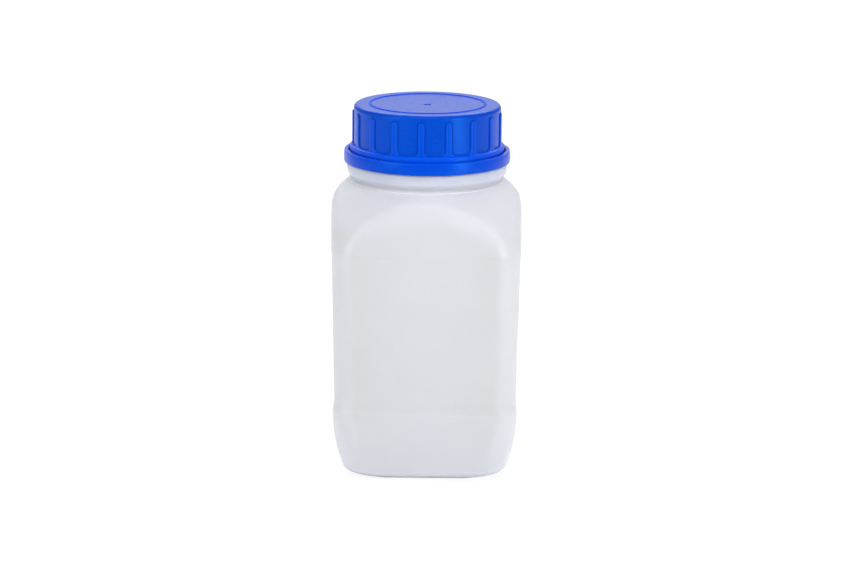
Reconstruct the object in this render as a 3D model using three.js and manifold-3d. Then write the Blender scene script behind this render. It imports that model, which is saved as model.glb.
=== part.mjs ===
// Square wide-neck plastic bottle with a screw cap, a tamper ring and a sealing disc.
// Millimetres, +Z up. The origin is at the centre of the base, and the front side faces -Y.

import * as THREE from "three";
import { mergeVertices } from "three/addons/utils/BufferGeometryUtils.js";
import Module from "manifold-3d";

// ---------------------------------------------------------------- driving dimensions

const BODY = {
  shoulderHalf: 38.3, // half the width at the top of the shoulder band
  bandHalf: 37.7, // half the width at its foot
  bandTop: 105.6,
  bandFoot: 93.4,
  panelTop: 92.2, // the recessed sides run from panelFoot to panelTop
  panelTopHalf: 37.45,
  panelFoot: 32,
  panelFootHalf: 36.27,
  sink: 0.35, // how far the middle of a recessed side sinks in
  heelTop: 28.4, // below this height the sides curve in to the base
  heelHalf: 36.85,
  heelBow: 5.45,
  footHeight: 3.9,
  footBow: 4.8,
  corner: 9, // radius of the upright corners
  cornerGrowth: 4.7, // how much more that radius is at the base
  wall: 1.1,
  floor: 1.5,
};
const BASE = { standHalf: 26.6, standInner: 22.5, rise: 2.4, riseHalf: 14, corner: 12 };
const SHOULDER = { centreRadius: -11.4, centreHeight: 62.5, arc: 69.65, blend: 4.9, top: 118.7 };
const COLLAR = { radius: 32.1, foot: 29.9, top: 124.7, belly: 122.4, groove: 29.5 };
const BEAD = { radius: 31.5, foot: 127, top: 128.5 };
const NECK = { root: 25.9, bore: 23.9, top: 145.2, foot: 128.6 };
const THREAD = { lead: 6, width: 2.4, crestWidth: 1.2, taper: 0.45 };
const NECK_THREAD = { crest: 27.2, start: 135.6, turns: 1.35 };
const CAP_THREAD = { crest: 26.45, turns: 1.3 };
const CAP = {
  top: 148.05,
  foot: 128.9,
  skirt: 29.5,
  inside: 27.6,
  plate: 1.2,
  dish: 0.4, // how far the middle of the top sinks in, inside the raised ring
  fillet: 1.8,
  flange: 31,
  flangeTop: 132,
};
const TOP_RIDGE = { radius: 23.1, halfWidth: 0.35, height: 0.3 };
const GATE = { radius: 1.3, depth: 0.25, nub: 0.6 };
const RIB = {
  count: 17,
  firstAngle: -4.6,
  width: 3, // across its foot
  crestWidth: 1.8,
  crest: 30.1,
  top: 145.4,
  slope: 0.6, // how much lower the crest ends than the foot does
};
const RING = { outer: 33.4, inner: 31.9, foot: 125, top: 129.7, bevel: 0.25 };
const BRIDGE = { count: 45, firstAngle: 4, width: 1.5, thickness: 0.5, reach: 31.3 };
const LUG = { count: 12, width: 8, reach: 30, foot: 125.4, top: 126.5 };
const DISC = { radius: 26.9, foot: 145.45, thickness: 1.1 };

const FINISH = {
  bottle: { color: 0xe0e1e6, roughness: 0.42, metalness: 0 },
  cap: { color: 0x014dd7, roughness: 0.38, metalness: 0 },
  ring: { color: 0x004ce2, roughness: 0.38, metalness: 0 },
  disc: { color: 0xf2f1ec, roughness: 0.8, metalness: 0 },
};

// ---------------------------------------------------------------- solids and placing

const wasm = await Module();
wasm.setup();

function toSolid(geometry) {
  const bare = geometry.clone();
  bare.deleteAttribute("normal");
  bare.deleteAttribute("uv");
  const merged = mergeVertices(bare, 1e-4);
  const mesh = new wasm.Mesh({
    numProp: 3,
    vertProperties: new Float32Array(merged.attributes.position.array),
    triVerts: new Uint32Array(merged.index.array),
  });
  return new wasm.Manifold(mesh);
}

function toGeometry(solid) {
  const mesh = solid.getMesh();
  const geometry = new THREE.BufferGeometry();
  geometry.setAttribute("position", new THREE.BufferAttribute(mesh.vertProperties, 3));
  geometry.setIndex(new THREE.BufferAttribute(mesh.triVerts, 1));
  geometry.computeVertexNormals();
  return geometry;
}

function join(base, additions) {
  let solid = toSolid(base);
  for (const addition of additions) {
    solid = solid.add(toSolid(addition));
  }
  return toGeometry(solid);
}

// Angles run from the front (-Y) towards +X, so they grow anticlockwise seen from above.
function polar(radius, angle) {
  return [radius * Math.sin(angle), -radius * Math.cos(angle)];
}

function turned(profile, segments) {
  const points = profile.map(([radius, height]) => new THREE.Vector2(radius, height));
  return new THREE.LatheGeometry(points, segments).rotateX(Math.PI / 2);
}

// ---------------------------------------------------------------- the bottle's surface

// The columns crowd together at the upright corners, where the outline bends.
const QUADRANT = [0, 13, 25, 34, 40, 45, 50, 56, 65, 77];
const COLUMNS = [0, 90, 180, 270].flatMap((turn) =>
  QUADRANT.map((degrees) => THREE.MathUtils.degToRad(turn + degrees)),
);

function squareRadius(angle, half, corner) {
  const c = Math.abs(Math.cos(angle));
  const s = Math.abs(Math.sin(angle));
  const flat = half / Math.max(c, s);
  const centre = half - corner;
  if (flat * Math.min(c, s) <= centre) {
    return flat;
  }
  const along = centre * (c + s);
  return along + Math.sqrt(along * along - 2 * centre * centre + corner * corner);
}

function smoothMin(a, b, blend) {
  const closeness = Math.max(blend - Math.abs(a - b), 0) / blend;
  return Math.min(a, b) - (closeness * closeness * blend) / 4;
}

function smoothStep(from, to, value) {
  return THREE.MathUtils.smoothstep(value, from, to);
}

function heelHalf(height) {
  const bow = 1 - height / BODY.heelTop;
  const foot = Math.max(1 - height / BODY.footHeight, 0);
  return BODY.heelHalf - BODY.heelBow * bow * bow - BODY.footBow * foot ** 2.4;
}

function panelHalf(height) {
  const share = (height - BODY.panelFoot) / (BODY.panelTop - BODY.panelFoot);
  return THREE.MathUtils.lerp(BODY.panelFootHalf, BODY.panelTopHalf, share);
}

function bodyHalf(height) {
  if (height < BODY.heelTop) {
    return heelHalf(height);
  }
  const share = Math.min((height - BODY.bandFoot) / (BODY.bandTop - BODY.bandFoot), 1);
  const band = THREE.MathUtils.lerp(BODY.bandHalf, BODY.shoulderHalf, share);
  const low = THREE.MathUtils.lerp(
    BODY.heelHalf, panelHalf(height), smoothStep(BODY.heelTop, BODY.panelFoot, height),
  );
  return THREE.MathUtils.lerp(low, band, smoothStep(BODY.panelTop, BODY.bandFoot, height));
}

function sideSink(angle, height) {
  const inPanel = smoothStep(BODY.heelTop, 45, height) * (1 - smoothStep(75, BODY.panelTop, height));
  const fromMiddle = Math.cos(2 * angle) ** 2;
  return BODY.sink * inPanel * fromMiddle * fromMiddle;
}

function shoulderRadius(height) {
  const rise = Math.max(height - SHOULDER.centreHeight, 0);
  return SHOULDER.centreRadius + Math.sqrt(SHOULDER.arc ** 2 - rise * rise);
}

function bodyRadius(angle, height) {
  const bow = Math.max(1 - height / BODY.heelTop, 0);
  const corner = BODY.corner + BODY.cornerGrowth * bow * bow;
  const square = squareRadius(angle, bodyHalf(height), corner) - sideSink(angle, height);
  return smoothMin(shoulderRadius(height), square, SHOULDER.blend);
}

const circle = (radius, height) => ({ height, radiusAt: () => radius });
const square = (half, height, corner) => ({
  height,
  radiusAt: (angle) => squareRadius(angle, half, corner),
});
const body = (height) => ({ height, radiusAt: (angle) => bodyRadius(angle, height) });
// The inside follows the outside, one wall in and one wall nearer to the bottle's middle height.
const lining = (height, shift) => ({
  height: height + shift,
  radiusAt: (angle) => bodyRadius(angle, height) - BODY.wall,
});

// A lathe surface whose rows are given as functions of the angle, so they needn't be round.
function shapedLathe(rows) {
  const points = rows.map((row) => new THREE.Vector2(1, row.height));
  const geometry = new THREE.LatheGeometry(points, COLUMNS.length).rotateX(Math.PI / 2);
  const position = geometry.attributes.position;
  for (let column = 0; column <= COLUMNS.length; column += 1) {
    const angle = COLUMNS[column % COLUMNS.length];
    rows.forEach((row, index) => {
      const [x, y] = polar(row.radiusAt(angle), angle);
      position.setXY(column * rows.length + index, x, y);
    });
  }
  return geometry;
}

function baseRows() {
  return [
    circle(0, BASE.rise),
    square(BASE.riseHalf, BASE.rise - 0.3, BASE.riseHalf),
    square(BASE.standInner, 0, BASE.corner),
    square(BASE.standHalf, 0, BODY.corner + BODY.cornerGrowth),
  ];
}

function outsideRows() {
  const heel = [0.3, 0.9, 1.8, 3, 5.5, 9.5, 14.5, 21];
  const sides = [BODY.heelTop, BODY.panelFoot, 46, 62, 77, BODY.panelTop, BODY.bandFoot];
  const shoulder = [99, 103, 106, 108.5, 110.5, 112.2, 113.8, 115.4, 117.1];
  return [...heel, ...sides, ...shoulder].map(body);
}

function neckRows() {
  return [
    circle(COLLAR.foot, SHOULDER.top),
    circle(31.5, 120.1),
    circle(31.95, 121.1),
    circle(COLLAR.radius, COLLAR.belly),
    circle(COLLAR.radius - 0.1, COLLAR.top - 0.7),
    circle(COLLAR.radius - 0.7, COLLAR.top),
    circle(COLLAR.groove, COLLAR.top + 0.2),
    circle(COLLAR.groove, BEAD.foot - 0.1),
    circle(BEAD.radius, BEAD.foot + 0.1),
    circle(BEAD.radius, BEAD.top - 0.7),
    circle(BEAD.radius - 0.8, BEAD.top),
    circle(NECK.root, NECK.foot),
    circle(NECK.root, NECK.top - 0.8),
    circle(NECK.root - 0.6, NECK.top),
    circle(NECK.bore + 0.5, NECK.top),
    circle(NECK.bore, NECK.top - 0.5),
    circle(NECK.bore, BEAD.top - 0.3),
    circle(NECK.bore + 3, BEAD.foot + 0.2),
    circle(COLLAR.groove - 1.4, BEAD.foot - 0.8),
    circle(COLLAR.groove - 1.4, COLLAR.top - 0.3),
    circle(COLLAR.radius - 1.6, COLLAR.belly + 0.8),
    circle(COLLAR.radius - 1.8, COLLAR.belly - 1.2),
    circle(COLLAR.foot - 1.6, SHOULDER.top - 0.4),
  ];
}

function insideRows() {
  const shoulder = [117.1, 115.2, 113, 110.5, 107.5, 103].map((height) => lining(height, -BODY.wall));
  const sides = [92, 77, 62, 46, 32, 28.4].map((height) => lining(height, 0));
  const heel = [20, 12.5, 7, 3.5, 1.4].map((height) => lining(height, BODY.floor * 0.7));
  return [
    ...shoulder,
    ...sides,
    ...heel,
    square(BASE.standHalf - 1, BODY.floor, BASE.corner),
    square(BASE.standInner, BODY.floor, BASE.corner),
    square(BASE.riseHalf, BASE.rise - 0.3 + BODY.floor, BASE.riseHalf),
    circle(0, BASE.rise + BODY.floor),
  ];
}

// ---------------------------------------------------------------- screw threads

// A straight ridge is bent round the axis and lifted by its lead. Its ends taper to the root.
function helicalRidge(root, crest, startHeight, startAngle, turns) {
  const inward = crest < root;
  const buried = inward ? 0.5 : -0.5;
  const height = crest - root;
  const outline = new THREE.Shape([
    new THREE.Vector2(buried, -THREAD.width / 2),
    new THREE.Vector2(0, -THREAD.width / 2),
    new THREE.Vector2(height, -THREAD.crestWidth / 2),
    new THREE.Vector2(height, THREAD.crestWidth / 2),
    new THREE.Vector2(0, THREAD.width / 2),
    new THREE.Vector2(buried, THREAD.width / 2),
  ]);
  const sweep = turns * 2 * Math.PI;
  const steps = Math.round(turns * 36);
  const ridge = new THREE.ExtrudeGeometry(outline, { depth: sweep, steps, bevelEnabled: false });
  const position = ridge.attributes.position;
  for (let i = 0; i < position.count; i += 1) {
    const along = position.getZ(i);
    const end = Math.min(along, sweep - along) / THREAD.taper;
    const full = 0.25 + 0.75 * THREE.MathUtils.clamp(end, 0, 1);
    const offset = position.getX(i);
    const radius = root + (offset * height > 0 ? offset * full : offset);
    const [x, y] = polar(radius, startAngle + along);
    const lift = (THREAD.lead * along) / (2 * Math.PI);
    position.setXYZ(i, x, y, startHeight + position.getY(i) * full + lift);
  }
  return outward(ridge);
}

// Bending can turn a surface inside out, which shows as a negative volume.
function outward(geometry) {
  const flat = geometry.index ? geometry.toNonIndexed() : geometry;
  const p = flat.attributes.position;
  const a = new THREE.Vector3();
  const b = new THREE.Vector3();
  const c = new THREE.Vector3();
  let volume = 0;
  for (let i = 0; i < p.count; i += 3) {
    a.fromBufferAttribute(p, i);
    b.fromBufferAttribute(p, i + 1);
    c.fromBufferAttribute(p, i + 2);
    volume += a.dot(b.clone().cross(c));
  }
  if (volume >= 0) {
    return flat;
  }
  for (let i = 0; i < p.count; i += 3) {
    b.fromBufferAttribute(p, i + 1);
    c.fromBufferAttribute(p, i + 2);
    p.setXYZ(i + 1, c.x, c.y, c.z);
    p.setXYZ(i + 2, b.x, b.y, b.z);
  }
  return flat;
}

// A block whose side outline is given as radius and height, set upright at an angle round the axis.
function radialBlock(outline, width, angle) {
  const shape = new THREE.Shape(outline.map(([radius, height]) => new THREE.Vector2(radius, height)));
  const block = new THREE.ExtrudeGeometry(shape, { depth: width, bevelEnabled: false });
  block.translate(0, 0, -width / 2);
  block.rotateX(Math.PI / 2);
  return block.rotateZ(angle - Math.PI / 2);
}

function ringOf(count, firstDegrees, make) {
  return Array.from({ length: count }, (_, index) =>
    make(THREE.MathUtils.degToRad(firstDegrees + (360 * index) / count)),
  );
}

// ---------------------------------------------------------------- sub-parts

function makeBottle() {
  const shell = shapedLathe([...baseRows(), ...outsideRows(), ...neckRows(), ...insideRows()]);
  const thread = helicalRidge(
    NECK.root, NECK_THREAD.crest, NECK_THREAD.start, 0, NECK_THREAD.turns,
  );
  return join(shell, [thread]);
}

function capProfile() {
  const filletRadius = CAP.skirt - CAP.fillet;
  const filletHeight = CAP.top - CAP.fillet;
  const middle = CAP.top - CAP.dish;
  const fillet = [0, 30, 60, 90].map((degrees) => {
    const angle = THREE.MathUtils.degToRad(degrees);
    const radius = filletRadius + CAP.fillet * Math.cos(angle);
    return [radius, filletHeight + CAP.fillet * Math.sin(angle)];
  });
  return [
    [0, CAP.top - CAP.plate],
    [CAP.inside - 0.5, CAP.top - CAP.plate],
    [CAP.inside, CAP.top - CAP.plate - 0.5],
    [CAP.inside, CAP.foot + 1.2],
    [CAP.inside + 0.5, CAP.foot],
    [CAP.flange, CAP.foot],
    [CAP.flange, CAP.flangeTop - 0.7],
    [CAP.skirt, CAP.flangeTop + 0.3],
    ...fillet,
    [TOP_RIDGE.radius + TOP_RIDGE.halfWidth + 0.15, CAP.top],
    [TOP_RIDGE.radius + TOP_RIDGE.halfWidth, CAP.top + TOP_RIDGE.height],
    [TOP_RIDGE.radius - TOP_RIDGE.halfWidth, CAP.top + TOP_RIDGE.height],
    [TOP_RIDGE.radius - TOP_RIDGE.halfWidth - 0.15, CAP.top],
    [TOP_RIDGE.radius * 0.7, middle + CAP.dish * 0.49],
    [TOP_RIDGE.radius * 0.35, middle + CAP.dish * 0.12],
    [GATE.radius, middle],
    [GATE.radius - 0.3, middle - GATE.depth],
    [GATE.nub, middle - GATE.depth],
    [GATE.nub - 0.2, middle - 0.05],
    [0, middle - 0.05],
  ];
}

function makeRib(angle) {
  const foot = CAP.flangeTop - 1.1;
  const root = CAP.skirt - 0.9;
  const outline = new THREE.Shape([
    new THREE.Vector2(-RIB.width / 2, -root),
    new THREE.Vector2(-RIB.width / 2, -CAP.skirt),
    new THREE.Vector2(-RIB.crestWidth / 2, -RIB.crest),
    new THREE.Vector2(RIB.crestWidth / 2, -RIB.crest),
    new THREE.Vector2(RIB.width / 2, -CAP.skirt),
    new THREE.Vector2(RIB.width / 2, -root),
  ]);
  const rib = new THREE.ExtrudeGeometry(outline, { depth: RIB.top - foot, bevelEnabled: false });
  const position = rib.attributes.position;
  for (let i = 0; i < position.count; i += 1) {
    const height = position.getZ(i);
    if (height > 0 && position.getY(i) < -CAP.skirt - 0.1) {
      position.setZ(i, height - RIB.slope);
    }
  }
  return rib.translate(0, 0, foot).rotateZ(angle);
}

function makeScrewCap() {
  const shell = turned(capProfile(), 72);
  const ribs = ringOf(RIB.count, RIB.firstAngle, makeRib);
  const start = NECK_THREAD.start - THREAD.lead / 2 + THREAD.lead / 4;
  const thread = helicalRidge(CAP.inside, CAP_THREAD.crest, start, Math.PI / 2, CAP_THREAD.turns);
  return join(shell, [...ribs, thread]);
}

function bandProfile() {
  const { outer, inner, foot, top, bevel } = RING;
  return [
    [inner, foot],
    [outer - bevel, foot],
    [outer, foot + bevel],
    [outer, top - bevel],
    [outer - bevel, top],
    [inner, top],
    [inner, foot],
  ];
}

function makeBridge(angle) {
  const low = RING.top - BRIDGE.thickness;
  const outline = [
    [BRIDGE.reach, low],
    [RING.inner + 0.4, low],
    [RING.inner + 0.4, RING.top - 0.08],
    [BRIDGE.reach, RING.top - 0.08],
  ];
  return radialBlock(outline, BRIDGE.width, angle);
}

function makeLug(angle) {
  const outline = [
    [LUG.reach, LUG.top - 0.4],
    [RING.inner + 0.4, LUG.foot],
    [RING.inner + 0.4, LUG.top],
    [LUG.reach, LUG.top],
  ];
  return radialBlock(outline, LUG.width, angle);
}

function makeTamperRing() {
  const bridges = ringOf(BRIDGE.count, BRIDGE.firstAngle, makeBridge);
  const lugs = ringOf(LUG.count, 0, makeLug);
  return join(turned(bandProfile(), 72), [...bridges, ...lugs]);
}

function makeSealingDisc() {
  const top = DISC.foot + DISC.thickness;
  return turned([[0, DISC.foot], [DISC.radius, DISC.foot], [DISC.radius, top], [0, top]], 60);
}

// ---------------------------------------------------------------- assembly

function namedMesh(name, geometry, finish) {
  const mesh = new THREE.Mesh(geometry, new THREE.MeshStandardMaterial(finish));
  mesh.name = name;
  return mesh;
}

const reagentBottle = new THREE.Group();
reagentBottle.add(
  namedMesh("bottle", makeBottle(), FINISH.bottle),
  namedMesh("screw_cap", makeScrewCap(), FINISH.cap),
  namedMesh("tamper_ring", makeTamperRing(), FINISH.ring),
  namedMesh("sealing_disc", makeSealingDisc(), FINISH.disc),
);

export default reagentBottle;
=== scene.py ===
import math

import bpy
import numpy as np
from mathutils import Matrix, Vector


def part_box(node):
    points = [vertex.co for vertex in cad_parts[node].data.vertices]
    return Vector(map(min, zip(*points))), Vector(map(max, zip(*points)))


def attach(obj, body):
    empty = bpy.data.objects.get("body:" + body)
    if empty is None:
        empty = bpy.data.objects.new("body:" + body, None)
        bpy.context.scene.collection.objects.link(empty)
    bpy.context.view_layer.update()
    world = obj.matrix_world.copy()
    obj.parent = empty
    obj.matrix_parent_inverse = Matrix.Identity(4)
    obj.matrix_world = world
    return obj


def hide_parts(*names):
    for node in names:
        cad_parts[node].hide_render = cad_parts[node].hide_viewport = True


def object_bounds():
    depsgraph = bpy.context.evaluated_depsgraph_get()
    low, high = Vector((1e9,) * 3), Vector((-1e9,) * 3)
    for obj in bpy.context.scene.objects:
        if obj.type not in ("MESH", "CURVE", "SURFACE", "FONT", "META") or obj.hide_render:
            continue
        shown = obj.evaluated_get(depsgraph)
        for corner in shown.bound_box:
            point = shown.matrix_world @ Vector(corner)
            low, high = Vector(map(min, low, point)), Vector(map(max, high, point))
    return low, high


# A square wide-neck bottle of milky plastic with a blue screw cap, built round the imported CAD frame.
# Lengths in this script are millimetres; MM turns them into Blender's metres.
# Angles run from the front (-Y) towards +X, anticlockwise seen from above.

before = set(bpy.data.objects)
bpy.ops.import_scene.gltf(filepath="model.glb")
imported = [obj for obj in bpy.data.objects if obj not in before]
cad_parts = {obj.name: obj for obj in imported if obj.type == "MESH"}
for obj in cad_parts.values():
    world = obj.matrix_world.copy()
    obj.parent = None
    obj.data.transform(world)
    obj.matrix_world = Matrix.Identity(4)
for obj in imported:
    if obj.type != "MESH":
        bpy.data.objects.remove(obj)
cad_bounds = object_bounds()

MM = 0.001


def span(node):
    """The radius, foot and top of a round CAD node, or half the width of a square one."""
    low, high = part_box(node)
    return high.x / MM, low.z / MM, high.z / MM


BOTTLE_HALF, _, NECK_TOP = span("bottle")
CAP_FLANGE, CAP_FOOT, CAP_TOP = span("screw_cap")
RING_OUTER, RING_FOOT, RING_TOP = span("tamper_ring")
DISC_RADIUS, DISC_FOOT, DISC_TOP = span("sealing_disc")

# ---------------------------------------------------------------- shape constants

PANEL_FOOT, PANEL_TOP, BAND_FOOT, BAND_TOP = 32.0, 91.8, 93.8, 105.6
SEAM_WIDTH, SEAM_HEIGHT = 0.35, 0.07
SHOULDER_HALF = BOTTLE_HALF - SEAM_HEIGHT
PANEL_FOOT_HALF = BOTTLE_HALF - 2.03
PANEL_TOP_HALF = BOTTLE_HALF - 0.85
BAND_HALF = BOTTLE_HALF - 0.6
HEEL_TOP, HEEL_HALF, HEEL_BOW = 28.4, BOTTLE_HALF - 1.45, 5.45
FOOT_HEIGHT, FOOT_BOW = 3.9, 4.8
LEDGE, LEDGE_HEIGHT = 0.1, 0.7
SINK = 0.35
CORNER, CORNER_GROWTH = 9.0, 4.7
WALL, FLOOR = 1.1, 1.5
STAND_HALF, STAND_INNER, STAND_CORNER, BASE_RISE = 26.6, 22.5, 12.0, 2.4
SHOULDER_CENTRE_RADIUS, SHOULDER_CENTRE_HEIGHT, SHOULDER_ARC = -11.4, 62.5, 69.65
SHOULDER_BLEND, SHOULDER_TOP = 4.9, 117.3

COLLAR, COLLAR_FOOT, COLLAR_TOP, GROOVE_ROOT = 32.1, 29.9, 124.7, 29.5
BEAD, BEAD_FOOT, BEAD_TOP = 31.5, 127.0, 128.5
NECK_ROOT, NECK_BORE, NECK_FOOT = 25.9, 23.9, 128.6

THREAD_LEAD, THREAD_WIDTH, THREAD_CREST_WIDTH, THREAD_TAPER = 6.0, 2.4, 1.2, 0.45
NECK_CREST, NECK_THREAD_START, NECK_TURNS = 27.2, 135.6, 1.35
CAP_CREST, CAP_TURNS = 26.45, 1.3

# The flat top lies a little under the crest of the thin ring raised on it.
SKIRT, CAP_INSIDE, CAP_PLATE, CAP_FILLET, CAP_DISH = 29.5, 27.6, 1.2, 1.8, 0.4
FLANGE_TOP = CAP_FOOT + 3.1
TOP_RIDGE, RIDGE_HALF, RIDGE_HEIGHT, RIDGE_SLOPE = 23.1, 0.4, 0.3, 0.1
TOP = CAP_TOP - RIDGE_HEIGHT
BORDER_RISE = 0.2
GATE, GATE_DEPTH, GATE_NUB = 1.4, 0.4, 0.6
RIBS, RIB_FIRST, RIB_WIDTH, RIB_CREST, RIB_TOP = 17, -4.6, 2.7, 30.1, CAP_TOP - 2.95
RIB_FLANK, RIB_FOOT_FILLET = 0.2, 2.4

RING_INNER = RING_OUTER - 1.5
BRIDGES, BRIDGE_FIRST, BRIDGE_WIDTH, BRIDGE_REACH = 45, 4.0, 1.5, 31.3
LUGS, LUG_WIDTH, LUG_REACH = 12, 8.0, 30.0
TICK_ANGLE, TICK_HEIGHT, TICK_RISE = -42.0, (RING_FOOT + RING_TOP) / 2 + 0.6, 0.22
RING_CROWN, RING_CROWN_HEIGHT = 0.03, 126.8

# ---------------------------------------------------------------- small maths


def smooth_step(low, high, value):
    """A smooth rise from 0 at low to 1 at high."""
    share = np.clip((value - low) / (high - low), 0.0, 1.0)
    return share * share * (3 - 2 * share)


def smooth_min(a, b, blend):
    """The smaller of two numbers, blended where they are nearly equal."""
    closeness = np.maximum(blend - np.abs(a - b), 0.0) / blend
    return np.minimum(a, b) - closeness * closeness * blend / 4


def soft_ramp(value, blend):
    """A straight ramp from 0 to 1 with its two corners rounded."""
    risen = -smooth_min(-value, 0.0 * value, blend)
    return smooth_min(risen, 1.0 + 0.0 * value, blend)


def mix(a, b, share):
    return a + (b - a) * share


def line_at(value, centre, width):
    """A soft line: 1 at its centre, fading to either side."""
    return np.exp(-(((value - centre) / width) ** 2))


def wrapped(angle):
    """An angle brought between minus and plus half a turn."""
    return (angle + np.pi) % (2 * np.pi) - np.pi


def offset_from(angles, count, first_degrees):
    """Each angle's distance, in radians, to the nearest of evenly spaced features."""
    pitch = 2 * np.pi / count
    return (angles - math.radians(first_degrees) + pitch / 2) % pitch - pitch / 2


def rounded(corners, closed=False, steps=6):
    """An outline through (radius, height, fillet) corners, straight between them and an arc at each."""
    outline = []
    count = len(corners)
    for index, (radius, height, fillet) in enumerate(corners):
        here = np.array([radius, height])
        at_end = not closed and index in (0, count - 1)
        if fillet <= 0 or at_end:
            outline.append(here)
            continue
        before = np.array(corners[index - 1][:2]) - here
        after = np.array(corners[(index + 1) % count][:2]) - here
        before_length = np.linalg.norm(before)
        after_length = np.linalg.norm(after)
        before /= before_length
        after /= after_length
        half_angle = math.acos(np.clip(before @ after, -1, 1)) / 2
        if half_angle > math.radians(88):
            outline.append(here)
            continue
        cut = min(fillet / math.tan(half_angle), 0.49 * before_length, 0.49 * after_length)
        reach = cut / math.cos(half_angle)
        bisector = (before + after) / np.linalg.norm(before + after)
        centre = here + bisector * reach
        start = here + before * cut - centre
        end = here + after * cut - centre
        turn = math.atan2(start[0] * end[1] - start[1] * end[0], start @ end)
        for step in range(steps + 1):
            a = turn * step / steps
            outline.append(centre + [
                start[0] * math.cos(a) - start[1] * math.sin(a),
                start[0] * math.sin(a) + start[1] * math.cos(a),
            ])
    return outline


def densified(outline, longest, closed=False):
    """The same outline with long straight stretches split up."""
    points = []
    ends = outline[1:] + ([outline[0]] if closed else [])
    for a, b in zip(outline, ends):
        parts = max(1, math.ceil(np.linalg.norm(b - a) / longest))
        points.extend(a + (b - a) * part / parts for part in range(parts))
    if not closed:
        points.append(outline[-1])
    return points


# ---------------------------------------------------------------- mesh making


def add_mesh(name, vertices, faces):
    mesh = bpy.data.meshes.new(name)
    mesh.from_pydata(np.asarray(vertices) * MM, [], faces)
    mesh.update()
    mesh.shade_smooth()
    piece = bpy.data.objects.new(name, mesh)
    bpy.context.scene.collection.objects.link(piece)
    return piece


def skin(name, angles, radii, heights, closed=False):
    """A surface of rows round the axis. An open one starts and ends at a point on the axis; a closed
    one joins its last row to its first. Rows run so that the outside of the piece is climbed."""
    rows, columns = radii.shape
    x = radii * np.sin(angles)
    y = -radii * np.cos(angles)
    vertices = np.stack([x, y, heights], axis=-1).reshape(-1, 3)
    row_starts = np.arange(rows if closed else rows - 1) * columns
    column = np.arange(columns)
    beside = (column + 1) % columns
    a = row_starts[:, None] + column
    b = row_starts[:, None] + beside
    above = (row_starts + columns) % (rows * columns)
    c = above[:, None] + beside
    d = above[:, None] + column
    faces = np.stack([a, b, c, d], axis=-1).reshape(-1, 4).tolist()
    vertices = vertices.tolist()
    if not closed:
        first = len(vertices)
        vertices.append([0, 0, float(heights[0].mean())])
        vertices.append([0, 0, float(heights[-1].mean())])
        last_row = (rows - 1) * columns
        for here, there in zip(column.tolist(), beside.tolist()):
            faces.append([first, there, here])
            faces.append([first + 1, last_row + here, last_row + there])
    return add_mesh(name, vertices, faces)


def store(piece, name, values):
    """Keeps one number to each vertex for the material, and none on the points on the axis."""
    layer = piece.data.attributes.new(name, "FLOAT", "POINT")
    filled = np.zeros(len(piece.data.vertices))
    filled[:values.size] = values.ravel()
    layer.data.foreach_set("value", filled)


def rows_of(outline, columns):
    """Round rows from an outline: radius and height arrays of one row to each outline point."""
    points = np.array(outline)
    radii = np.repeat(points[:, :1], columns, axis=1)
    heights = np.repeat(points[:, 1:], columns, axis=1)
    return radii, heights


def helical_height(angles, heights, start_angle, start_height, turns):
    """How much of a screw thread stands at each point, from 0 at the root to 1 on the crest."""
    along = (angles - start_angle) % (2 * np.pi)
    flank = (THREAD_WIDTH - THREAD_CREST_WIDTH) / 2
    most = np.zeros(np.broadcast(angles, heights).shape)
    for lap in range(math.ceil(turns) + 1):
        travelled = along + 2 * np.pi * lap
        centre = start_height + THREAD_LEAD * travelled / (2 * np.pi)
        left = np.minimum(travelled, turns * 2 * np.pi - travelled) / THREAD_TAPER
        taper = smooth_step(-0.35, 1, left)
        away = np.abs(heights - centre)
        crest_half = THREAD_CREST_WIDTH / 2
        profile = 1 - smooth_step(crest_half - 0.1, crest_half + flank, away)
        most = np.maximum(most, profile * taper)
    return most


# ---------------------------------------------------------------- the bottle


def square_radius(angles, half, corner):
    c = np.abs(np.cos(angles))
    s = np.abs(np.sin(angles))
    centre = half - corner
    flat = half / np.maximum(c, s)
    along = centre * (c + s)
    inside = np.maximum(along * along - 2 * centre * centre + corner * corner, 0)
    return np.where(flat * np.minimum(c, s) <= centre, flat, along + np.sqrt(inside))


def heel_half(height):
    bow = 1 - height / HEEL_TOP
    foot = max(1 - height / FOOT_HEIGHT, 0)
    return HEEL_HALF - HEEL_BOW * bow * bow - FOOT_BOW * foot ** 2.4


def body_half(height):
    if height < HEEL_TOP:
        return heel_half(height)
    panel = mix(PANEL_FOOT_HALF, PANEL_TOP_HALF, (height - PANEL_FOOT) / (PANEL_TOP - PANEL_FOOT))
    ledge = LEDGE * smooth_step(HEEL_TOP, HEEL_TOP + LEDGE_HEIGHT, height)
    low = mix(HEEL_HALF - ledge, panel, smooth_step(HEEL_TOP, PANEL_FOOT, height))
    band = mix(BAND_HALF, SHOULDER_HALF, min((height - BAND_FOOT) / (BAND_TOP - BAND_FOOT), 1))
    return mix(low, band, smooth_step(PANEL_TOP, BAND_FOOT, height))


def body_radius(angles, height):
    bow = max(1 - height / HEEL_TOP, 0)
    square = square_radius(angles, body_half(height), CORNER + CORNER_GROWTH * bow * bow)
    in_panel = smooth_step(HEEL_TOP, 45, height) * (1 - smooth_step(75, PANEL_TOP, height))
    square = square - SINK * in_panel * np.cos(2 * angles) ** 4
    rise = max(height - SHOULDER_CENTRE_HEIGHT, 0)
    shoulder = SHOULDER_CENTRE_RADIUS + math.sqrt(SHOULDER_ARC**2 - rise * rise)
    return smooth_min(shoulder, square, SHOULDER_BLEND)


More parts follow.
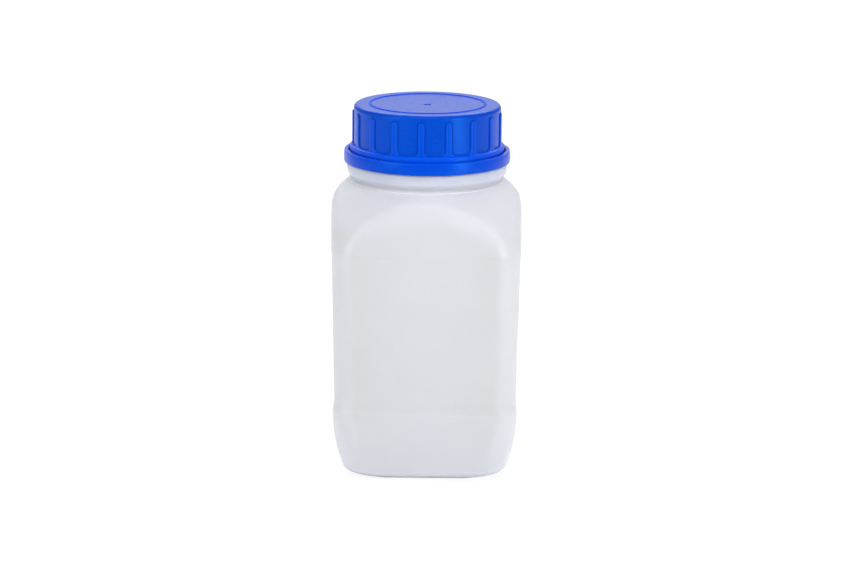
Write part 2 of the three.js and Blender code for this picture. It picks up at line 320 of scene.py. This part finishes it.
def base_rows(angles):
    """From the middle of the pushed-up base out to the edge of the standing rim."""
    rows = []
    highlighted = np.linspace(0.5, STAND_INNER, 30)
    rim = np.linspace(STAND_INNER + 0.5, STAND_HALF, 6)
    for half in np.concatenate([highlighted, rim]):
        share = min(half / STAND_INNER, 1)
        height = BASE_RISE * (1 - share * share) ** 1.5
        corner = mix(half, min(half, STAND_CORNER), share**4)
        rows.append((square_radius(angles, half, corner), height))
    return rows


def seam(angles):
    """The mould's parting line runs up the middle of the left and right sides."""
    return SEAM_HEIGHT * np.exp(-((wrapped(2 * angles - np.pi) * 19 / SEAM_WIDTH) ** 2))


def side_rows(angles):
    foot = np.linspace(0, 1, 30)[1:] ** 1.8 * 8
    heel = np.linspace(8, HEEL_TOP - 0.6, 26)[1:]
    ledge = np.linspace(HEEL_TOP - 0.6, PANEL_FOOT, 22)[1:]
    panel = np.linspace(PANEL_FOOT, PANEL_TOP, 40)[1:]
    step = np.linspace(PANEL_TOP, BAND_FOOT, 10)[1:]
    band = np.linspace(BAND_FOOT, BAND_TOP, 12)[1:]
    shoulder = np.linspace(BAND_TOP, SHOULDER_TOP, 42)[1:]
    heights = np.concatenate([foot, heel, ledge, panel, step, band, shoulder])
    return [(body_radius(angles, height) + seam(angles), height) for height in heights]


def neck_corners():
    return [
        (COLLAR_FOOT + 1.8, SHOULDER_TOP + 0.15, 0),
        (COLLAR_FOOT - 0.15, SHOULDER_TOP + 1.1, 0.9),
        (COLLAR - 0.35, 120.5, 1.2),
        (COLLAR, 122.4, 1.5),
        (COLLAR, COLLAR_TOP + 0.1, 1.1),
        (GROOVE_ROOT, COLLAR_TOP + 0.2, 0.4),
        (GROOVE_ROOT, BEAD_FOOT, 0.4),
        (BEAD, BEAD_FOOT, 0.3),
        (BEAD, BEAD_TOP, 0.8),
        (NECK_ROOT, NECK_FOOT, 0.8),
        (NECK_ROOT, NECK_TOP, 0.7),
        (NECK_BORE, NECK_TOP, 0.6),
        (NECK_BORE, BEAD_TOP - 0.3, 2.5),
        (NECK_BORE + 3, BEAD_FOOT + 0.2, 1.5),
        (GROOVE_ROOT - 1.4, BEAD_FOOT - 0.8, 1),
        (GROOVE_ROOT - 1.4, COLLAR_TOP - 0.3, 1),
        (COLLAR - 1.6, COLLAR_TOP - 1.6, 1),
        (COLLAR - 1.8, 121.2, 1.5),
        (COLLAR_FOOT - 1.6, SHOULDER_TOP + 1, 0),
    ]


def inside_rows(angles):
    def lining(height, shift):
        return body_radius(angles, height) - WALL, height + shift

    shoulder = [lining(height, -WALL) for height in np.linspace(117.1, 103, 26)]
    sides = [lining(height, 0) for height in np.linspace(101, HEEL_TOP, 40)]
    heel = [lining(height, FLOOR * 0.7) for height in np.linspace(25, 1.8, 20)]
    floor = []
    for half in np.linspace(STAND_HALF - 1.5, 1, 24):
        share = min(half / STAND_INNER, 1)
        height = FLOOR + BASE_RISE * (1 - share * share) ** 1.5
        corner = mix(half, min(half, STAND_CORNER), share**4)
        floor.append((square_radius(angles, half, corner), height))
    return shoulder + sides + heel + floor


def stacked(rows, columns):
    radii = np.array([np.broadcast_to(radius, columns) for radius, _ in rows])
    heights = np.array([np.broadcast_to(height, columns) for _, height in rows])
    return radii, heights


def make_bottle():
    columns = 400
    angles = np.arange(columns) * 2 * np.pi / columns
    outside = stacked(base_rows(angles) + side_rows(angles), columns)
    neck_radii, neck_heights = rows_of(densified(rounded(neck_corners()), 0.22), columns)
    thread = helical_height(angles, neck_heights, 0, NECK_THREAD_START, NECK_TURNS)
    on_root = np.abs(neck_radii - NECK_ROOT) < 0.01
    neck_radii = neck_radii + np.where(on_root, thread * (NECK_CREST - NECK_ROOT), 0)
    inside = stacked(inside_rows(angles), columns)
    radii = np.concatenate([outside[0], neck_radii, inside[0]])
    heights = np.concatenate([outside[1], neck_heights, inside[1]])
    return skin("bottle_shell", angles, radii, heights)


# ---------------------------------------------------------------- the screw cap


def rib_distance(angles, heights):
    """How far each point is outside the ribs. Each has a round top and flares into the flange."""
    across = np.abs(offset_from(angles, RIBS, RIB_FIRST)) * RIB_CREST
    half = RIB_WIDTH / 2
    above = np.maximum(heights - (RIB_TOP - half), 0)
    to_rib = np.hypot(across, above) - half
    to_flange = heights - FLANGE_TOP
    return smooth_min(to_rib, to_flange, RIB_FOOT_FILLET)


def cap_corners():
    plate_foot = TOP - CAP_PLATE
    middle = TOP - CAP_DISH
    return [
        (1.0, plate_foot, 0),
        (CAP_INSIDE, plate_foot, 0.6),
        (CAP_INSIDE, CAP_FOOT + 1.2, 0.5),
        (CAP_INSIDE + 0.5, CAP_FOOT, 0.25),
        (CAP_FLANGE, CAP_FOOT, 0.25),
        (CAP_FLANGE, FLANGE_TOP - 0.5, 0.6),
        (SKIRT, FLANGE_TOP + 0.35, 0.2),
        (SKIRT, TOP + BORDER_RISE, CAP_FILLET),
        (TOP_RIDGE + RIDGE_HALF + RIDGE_SLOPE, TOP, 0.08),
        (TOP_RIDGE + RIDGE_HALF, CAP_TOP, 0.1),
        (TOP_RIDGE - RIDGE_HALF, CAP_TOP, 0.1),
        (TOP_RIDGE - RIDGE_HALF - RIDGE_SLOPE, TOP, 0.08),
        (TOP_RIDGE * 0.7, middle + CAP_DISH * 0.49, 8),
        (TOP_RIDGE * 0.35, middle + CAP_DISH * 0.12, 8),
        (GATE, middle, 0.15),
        (GATE - 0.25, middle - GATE_DEPTH, 0.12),
        (GATE_NUB, middle - GATE_DEPTH, 0.1),
        (GATE_NUB - 0.15, middle - 0.06, 0.12),
        (0.2, middle - 0.06, 0),
    ]


def crowded_angles(count, first_degrees, dense_half, dense_steps, open_steps):
    """Column angles that crowd together over each of the evenly spaced features."""
    pitch = 2 * np.pi / count
    dense = np.linspace(-dense_half, dense_half, dense_steps + 1)
    sparse = np.linspace(dense_half, pitch - dense_half, open_steps + 1)[1:-1]
    cell = np.concatenate([dense, sparse])
    cells = [cell + pitch * index + math.radians(first_degrees) for index in range(count)]
    return np.concatenate(cells)


def make_cap():
    dense_half = (RIB_WIDTH / 2 + 0.8) / SKIRT
    angles = crowded_angles(RIBS, RIB_FIRST, dense_half, 44, 12)
    outline = densified(rounded(cap_corners(), steps=8), 0.2)
    radii, heights = rows_of(outline, len(angles))
    distance = rib_distance(angles, heights)
    relief = soft_ramp((RIB_FLANK - distance) / (2 * RIB_FLANK), 0.16)
    on_skirt = (radii > SKIRT - 0.6) & (heights > FLANGE_TOP - 1)
    on_top = heights > TOP - 1
    on_ridge = on_top * (np.abs(radii - TOP_RIDGE) < RIDGE_HALF + RIDGE_SLOPE + 0.15)
    # Painted shade: a dark ring round the gate, and dark lines along the feet of the ribs (weaker down
    # by the flange) and along the ridge on the top.
    gate_shade = 0.5 * on_top * line_at(radii, GATE - 0.3, 0.4)
    shade_by_height = mix(0.62, 1, smooth_step(FLANGE_TOP, FLANGE_TOP + 3, heights))
    painted_shade = on_skirt * shade_by_height * line_at(distance, RIB_FLANK, 0.24) + 0.35 * on_ridge + gate_shade
    # Painted highlight: paler lines along the rib crests and the ridge, and the whole flange lifted
    # paler against the shade under the ring.
    on_flange = (radii > SKIRT + 0.8) & (heights < FLANGE_TOP)
    painted_highlight = 0.85 * on_skirt * line_at(distance, -0.55, 0.3) + on_flange + 0.7 * on_ridge
    ribbed = SKIRT + relief * (RIB_CREST - SKIRT) - (SKIRT - radii).clip(0)
    radii = np.where(on_skirt, np.maximum(radii, ribbed), radii)
    start = NECK_THREAD_START - THREAD_LEAD / 4
    thread = helical_height(angles, heights, np.pi / 2, start, CAP_TURNS)
    on_wall = np.abs(radii - CAP_INSIDE) < 0.01
    radii = radii - np.where(on_wall, thread * (CAP_INSIDE - CAP_CREST), 0)
    cap = skin("cap_shell", angles, radii, heights)
    store(cap, "painted_shade", painted_shade)
    store(cap, "painted_highlight", painted_highlight)
    return cap


# ---------------------------------------------------------------- the tamper ring and the disc


def ring_corners():
    return [
        (RING_INNER, RING_FOOT, 0.15),
        (RING_OUTER, RING_FOOT, 0.2),
        (RING_OUTER, RING_TOP, 0.2),
        (RING_INNER, RING_TOP, 0.12),
    ]


def make_ring():
    columns = 960
    angles = np.arange(columns) * 2 * np.pi / columns
    outline = densified(rounded(ring_corners(), closed=True, steps=5), 0.1, closed=True)
    radii, heights = rows_of(outline, columns)
    inner = radii < RING_INNER + 0.05
    bridge_across = np.abs(offset_from(angles, BRIDGES, BRIDGE_FIRST)) * RING_INNER
    on_bridge = 1 - smooth_step(BRIDGE_WIDTH / 2 - 0.15, BRIDGE_WIDTH / 2 + 0.2, bridge_across)
    bridge_band = smooth_step(-0.5, -0.42, heights - RING_TOP) * (heights < RING_TOP - 0.1)
    lug_across = np.abs(offset_from(angles, LUGS, 0)) * RING_INNER
    on_lug = 1 - smooth_step(LUG_WIDTH / 2 - 0.2, LUG_WIDTH / 2 + 0.3, lug_across)
    lug_rise = heights - RING_FOOT
    lug_band = smooth_step(0.4, 1.15, lug_rise) * (1 - smooth_step(1.42, 1.5, lug_rise))
    inset = np.maximum(on_bridge * bridge_band * (RING_INNER - BRIDGE_REACH),
                       on_lug * lug_band * (RING_INNER - LUG_REACH))
    radii = radii - np.where(inner, inset, 0)
    tick_across = np.abs(wrapped(angles - math.radians(TICK_ANGLE))) * RING_OUTER
    tick_along = np.abs(heights - TICK_HEIGHT)
    tick = (1 - smooth_step(0.2, 0.65, tick_across)) * (1 - smooth_step(0.9, 1.4, tick_along))
    crown = RING_CROWN * (heights - RING_CROWN_HEIGHT) ** 2
    on_face = radii > RING_OUTER - 0.05
    radii = radii + np.where(on_face, TICK_RISE * tick, 0) - np.where(inner, 0, crown)
    ring = skin("ring_band", angles, radii, heights, closed=True)
    # Painted highlight: a paler line along the ring's top outer edge.
    store(ring, "painted_highlight", 0.7 * line_at(heights, RING_TOP - 0.15, 0.4) * ~inner)
    return ring


def make_disc():
    columns = 240
    angles = np.arange(columns) * 2 * np.pi / columns
    corners = [
        (1.0, DISC_FOOT, 0),
        (DISC_RADIUS, DISC_FOOT, 0.25),
        (DISC_RADIUS, DISC_TOP, 0.25),
        (1.0, DISC_TOP, 0),
    ]
    radii, heights = rows_of(densified(rounded(corners), 1.5), columns)
    return skin("foam_disc", angles, radii, heights)


# ---------------------------------------------------------------- materials

CAP_BLUE = (0.0004, 0.0514, 0.502, 1)
RING_BLUE = (0.0004, 0.0522, 0.555, 1)
WORN_BLUE = (0.02, 0.15, 0.75, 1)
BODY_TONES = (0.631, 0.646, 0.712, 1), (0.651, 0.665, 0.732, 1)
STREAK_TONE = (0.643, 0.658, 0.723, 1)
# Painted shade, tinted blue, over the neck under the cap and ring.
NECK_SHADE_TONE = (0.525, 0.55, 0.644, 1)
NECK_SHADE_FROM, NECK_SHADE_FULL = 0.1184, 0.1201  # metres up
# Painted shade in the creases and painted highlight on edges, as shares of the base colour.
PAINTED_CREASE_SHADE, PAINTED_HIGHLIGHT = 0.45, 1.4
FLOOR_SHOWN, SHOWN_WHITE = 0.85, 1.05


class Nodes:
    """A short way to add and join shader nodes."""

    def __init__(self, name):
        self.material = bpy.data.materials.new(name)
        self.material.use_nodes = True
        self.tree = self.material.node_tree
        self.shader = self.tree.nodes["Principled BSDF"]

    def add(self, kind, inputs=None, **settings):
        node = self.tree.nodes.new("ShaderNode" + kind)
        for key, value in settings.items():
            setattr(node, key, value)
        for key, value in (inputs or {}).items():
            self.put(node.inputs[key], value)
        return node

    def put(self, socket, value):
        if isinstance(value, bpy.types.NodeSocket):
            self.tree.links.new(value, socket)
        else:
            socket.default_value = value

    def finish(self, **constants):
        for key, value in constants.items():
            self.put(self.shader.inputs[key.replace("_", " ")], value)
        return self.material

    def place(self, scale=(1, 1, 1)):
        position = self.add("TexCoord").outputs["Object"]
        return self.add("Mapping", {"Vector": position, "Scale": scale}).outputs["Vector"]

    def noise(self, scale, detail=3.0, roughness=0.55, stretch=(1, 1, 1)):
        texture = self.add("TexNoise", {"Vector": self.place(stretch), "Scale": scale})
        self.put(texture.inputs["Detail"], detail)
        self.put(texture.inputs["Roughness"], roughness)
        return texture.outputs["Fac"]

    def ranged(self, value, low, high, from_low=0.3, from_high=0.7):
        inputs = {"Value": value, "From Min": from_low, "From Max": from_high}
        return self.add("MapRange", {**inputs, "To Min": low, "To Max": high}).outputs["Result"]

    def blended(self, share, first, second):
        node = self.add("Mix", data_type="RGBA")
        self.put(node.inputs["Factor"], share)
        colours = [socket for socket in node.inputs if socket.type == "RGBA"]
        self.put(colours[0], first)
        self.put(colours[1], second)
        return next(socket for socket in node.outputs if socket.type == "RGBA")

    def bump(self, height, distance, strength=1.0, normal=None):
        inputs = {"Height": height, "Distance": distance, "Strength": strength}
        if normal is not None:
            inputs["Normal"] = normal
        return self.add("Bump", inputs).outputs["Normal"]


def shade(colour, share):
    return tuple(channel * share for channel in colour[:3]) + (1,)


def milky_plastic():
    """Natural polyethylene: light soaks into it, and the wall shows faint waves and flow marks. The
    neck is painted darker and bluer: painted shade and blue bounce light under the cap and ring."""
    n = Nodes("milky_polyethylene")
    mottle = n.ranged(n.noise(55, 4), 0, 1)
    streaks = n.ranged(n.noise(90, 3, stretch=(1, 1, 0.06)), 0, 1)
    tone = n.blended(mottle, *BODY_TONES)
    colour = n.blended(n.ranged(streaks, 0, 0.35, 0, 1), tone, STREAK_TONE)
    height = n.add("SeparateXYZ", {"Vector": n.place()}).outputs["Z"]
    # Painted shade: darker and bluer from the collar up.
    neck_shade = n.ranged(height, 0, 1, NECK_SHADE_FROM, NECK_SHADE_FULL)
    colour = n.blended(neck_shade, colour, NECK_SHADE_TONE)
    waves = n.bump(n.noise(38, 2), 0.0005, 0.35)
    drawn = n.bump(n.noise(300, 2, stretch=(1, 1, 0.04)), 0.00006, 0.5, waves)
    grain = n.bump(n.noise(2600, 2), 0.00002, 0.6, drawn)
    n.put(n.shader.inputs["Base Color"], colour)
    n.put(n.shader.inputs["Roughness"], n.ranged(n.noise(400, 4), 0.36, 0.46))
    n.put(n.shader.inputs["Normal"], grain)
    return n.finish(
        Subsurface_Weight=1.0,
        Subsurface_Radius=(1.0, 1.02, 1.08),
        Subsurface_Scale=0.004,
        IOR=1.5,
        Specular_IOR_Level=0.4,
    )


def moulded_blue(name, colour, worn, flow_scale):
    """Pigmented plastic with flow marks from its gate, faint scuffs and a fine moulded grain. Its
    creases get painted shade, darker and duller, and its rib crests, ridge, flange and ring edge
    get painted highlight, paler, by the numbers stored on the mesh."""
    n = Nodes(name)
    flow = n.ranged(n.noise(flow_scale, 4, stretch=(1, 0.25, 1)), 0, 1)
    # A darker tone for the flow marks, a painted shade colour for creases and a painted highlight
    # colour for edges.
    deep, shade_colour, highlight_colour = (shade(colour, share) for share in (0.93, PAINTED_CREASE_SHADE, PAINTED_HIGHLIGHT))
    painted_shade = n.add("Attribute", attribute_name="painted_shade").outputs["Fac"]
    painted_highlight = n.add("Attribute", attribute_name="painted_highlight").outputs["Fac"]
    tone = n.blended(flow, colour, deep)
    scuffed = n.blended(n.ranged(n.noise(900, 2), 0, 0.2, 0.6, 0.75), tone, worn)
    # Painted highlight, then painted shade, laid over the base colour.
    highlighted = n.blended(painted_highlight, scuffed, highlight_colour)
    shaded = n.blended(n.ranged(painted_shade, 0, 1, 0.5, 1), highlighted, shade_colour)
    n.put(n.shader.inputs["Base Color"], shaded)
    sheen = n.ranged(n.noise(700, 5), 0.28, 0.36)
    dulling = n.ranged(painted_shade, 0, 0.4, 0, 0.5)
    dulled = n.add("Math", {0: sheen, 1: dulling}, operation="ADD")
    n.put(n.shader.inputs["Roughness"], dulled.outputs[0])
    broad = n.bump(n.noise(70, 2), 0.0002, 0.4)
    n.put(n.shader.inputs["Normal"], n.bump(n.noise(3200, 3), 0.00003, 0.7, broad))
    return n.finish(IOR=1.5, Specular_IOR_Level=0.5, Specular_Tint=(0.05, 0.4, 1, 1))


def white_foam():
    n = Nodes("white_foam")
    cells = n.add("TexVoronoi", {"Vector": n.place(), "Scale": 2400.0}).outputs["Distance"]
    tone = n.blended(n.ranged(n.noise(200, 4), 0, 1), (0.86, 0.86, 0.83, 1), (0.80, 0.80, 0.78, 1))
    n.put(n.shader.inputs["Base Color"], tone)
    n.put(n.shader.inputs["Roughness"], n.ranged(cells, 0.7, 0.9, 0, 1))
    n.put(n.shader.inputs["Normal"], n.bump(cells, 0.0001, 0.6))
    return n.finish(Specular_IOR_Level=0.3)


def floor_paint():
    """Like the room behind it, the floor is shown whiter than it lights."""
    n = Nodes("pale_floor")
    tone = n.blended(n.ranged(n.noise(3, 2), 0, 1), (0.93, 0.93, 0.93, 1), (0.92, 0.92, 0.92, 1))
    n.put(n.shader.inputs["Base Color"], tone)
    shown = n.add("Emission", {"Color": (1, 1, 1, 1), "Strength": SHOWN_WHITE})
    camera_ray = n.add("LightPath").outputs["Is Camera Ray"]
    seen = n.add("Math", {0: camera_ray, 1: FLOOR_SHOWN}, operation="MULTIPLY")
    blend = n.add("MixShader", {0: seen.outputs[0], 1: n.shader.outputs[0], 2: shown.outputs[0]})
    n.put(n.tree.nodes["Material Output"].inputs["Surface"], blend.outputs[0])
    return n.finish(Roughness=0.9, Specular_IOR_Level=0.1)


def dress(piece, material, body, node):
    piece.data.materials.append(material)
    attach(piece, body)
    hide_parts(node)


# ---------------------------------------------------------------- the studio

FLOOR_SIDE, FLOOR_GAP = 4.0, 0.0001
ROOM_LIGHT = 0.204
# Softboxes: degrees from the front towards +X, degrees up, distance, width and height in metres, watts.
SOFTBOXES = {
    "front_left": (-50, 18, 1.6, 0.8, 0.9, 10.4),
    "front_right": (48.5, 14, 1.4, 0.35, 1.0, 4.2),
    "key": (48.5, 11, 0.5, 0.11, 0.33, 0.7),
    "front_top": (0, 62, 1.3, 1.2, 0.1, 7.4),
    "behind": (180, 16, 1.6, 1.6, 0.5, 1.9),
    "back_top": (180, 50, 1.5, 1.8, 1, 20.2),
    "side_right": (97, 12, 1.4, 0.5, 1, 0.3),
}
LENS, CAMERA_RAISE, CAMERA_DISTANCE, CAMERA_ROLL = 148.2, 12.9, 1.418, 0.53


def make_floor():
    mesh = bpy.data.meshes.new("floor")
    signs = [(-1, -1), (1, -1), (1, 1), (-1, 1)]
    corners = [(x * FLOOR_SIDE, y * FLOOR_SIDE, 0) for x, y in signs]
    mesh.from_pydata(corners, [], [(0, 1, 2, 3)])
    floor = bpy.data.objects.new("floor", mesh)
    floor.data.materials.append(floor_paint())
    floor.location.z = cad_bounds[0].z - FLOOR_GAP
    bpy.context.scene.collection.objects.link(floor)


def aimed(obj, position, target, roll=0.0):
    back = (position - target).normalized()
    turn = back.to_track_quat("Z", "Y").to_matrix().to_4x4()
    obj.matrix_world = Matrix.Translation(position) @ turn @ Matrix.Rotation(roll, 4, "Z")


def around(target, azimuth, elevation, distance):
    a = math.radians(azimuth)
    e = math.radians(elevation)
    way = Vector((math.sin(a) * math.cos(e), -math.cos(a) * math.cos(e), math.sin(e)))
    return target + way * distance


def softbox(name, azimuth, elevation, distance, width, height, power):
    light = bpy.data.lights.new(name, "AREA")
    light.shape = "RECTANGLE"
    light.size = width
    light.size_y = height
    light.energy = power
    lamp = bpy.data.objects.new(name, light)
    bpy.context.scene.collection.objects.link(lamp)
    target = (cad_bounds[0] + cad_bounds[1]) / 2
    aimed(lamp, around(target, azimuth, elevation, distance), target)
    lamp.visible_camera = False


def make_lights():
    for name, numbers in SOFTBOXES.items():
        softbox(name, *numbers)


def make_world():
    """A pale room. It is shown brighter than it lights, so that the background stays plain white."""
    world = bpy.data.worlds.new("pale_room")
    world.use_nodes = True
    tree = world.node_tree
    lit = tree.nodes["Background"]
    lit.inputs["Strength"].default_value = ROOM_LIGHT
    lit.inputs["Color"].default_value = (1, 1, 1, 1)
    shown = tree.nodes.new("ShaderNodeBackground")
    shown.inputs["Strength"].default_value = SHOWN_WHITE
    choice = tree.nodes.new("ShaderNodeMixShader")
    path = tree.nodes.new("ShaderNodeLightPath")
    tree.links.new(path.outputs["Is Camera Ray"], choice.inputs[0])
    tree.links.new(lit.outputs[0], choice.inputs[1])
    tree.links.new(shown.outputs[0], choice.inputs[2])
    tree.links.new(choice.outputs[0], tree.nodes["World Output"].inputs["Surface"])
    bpy.context.scene.world = world


def make_camera():
    """A long lens from a little above the front, rolled by a trace."""
    camera = bpy.data.objects.new("camera", bpy.data.cameras.new("camera"))
    bpy.context.scene.collection.objects.link(camera)
    camera.data.sensor_width = 36
    camera.data.lens = LENS
    camera.data.clip_end = 50
    target = Vector((-0.00035, 0, 0.0741))
    position = around(target, 0, CAMERA_RAISE, CAMERA_DISTANCE)
    aimed(camera, position, target, math.radians(CAMERA_ROLL))
    bpy.context.scene.camera = camera
    bpy.context.scene.view_settings.view_transform = "Standard"


# ---------------------------------------------------------------- the scene

cap_blue = moulded_blue("cap_blue", CAP_BLUE, WORN_BLUE, 120)
ring_blue = moulded_blue("ring_blue", RING_BLUE, WORN_BLUE, 160)
dress(make_bottle(), milky_plastic(), "bottle", "bottle")
dress(make_cap(), cap_blue, "cap", "screw_cap")
dress(make_ring(), ring_blue, "ring", "tamper_ring")
dress(make_disc(), white_foam(), "disc", "sealing_disc")
make_floor()
make_lights()
make_world()
make_camera()
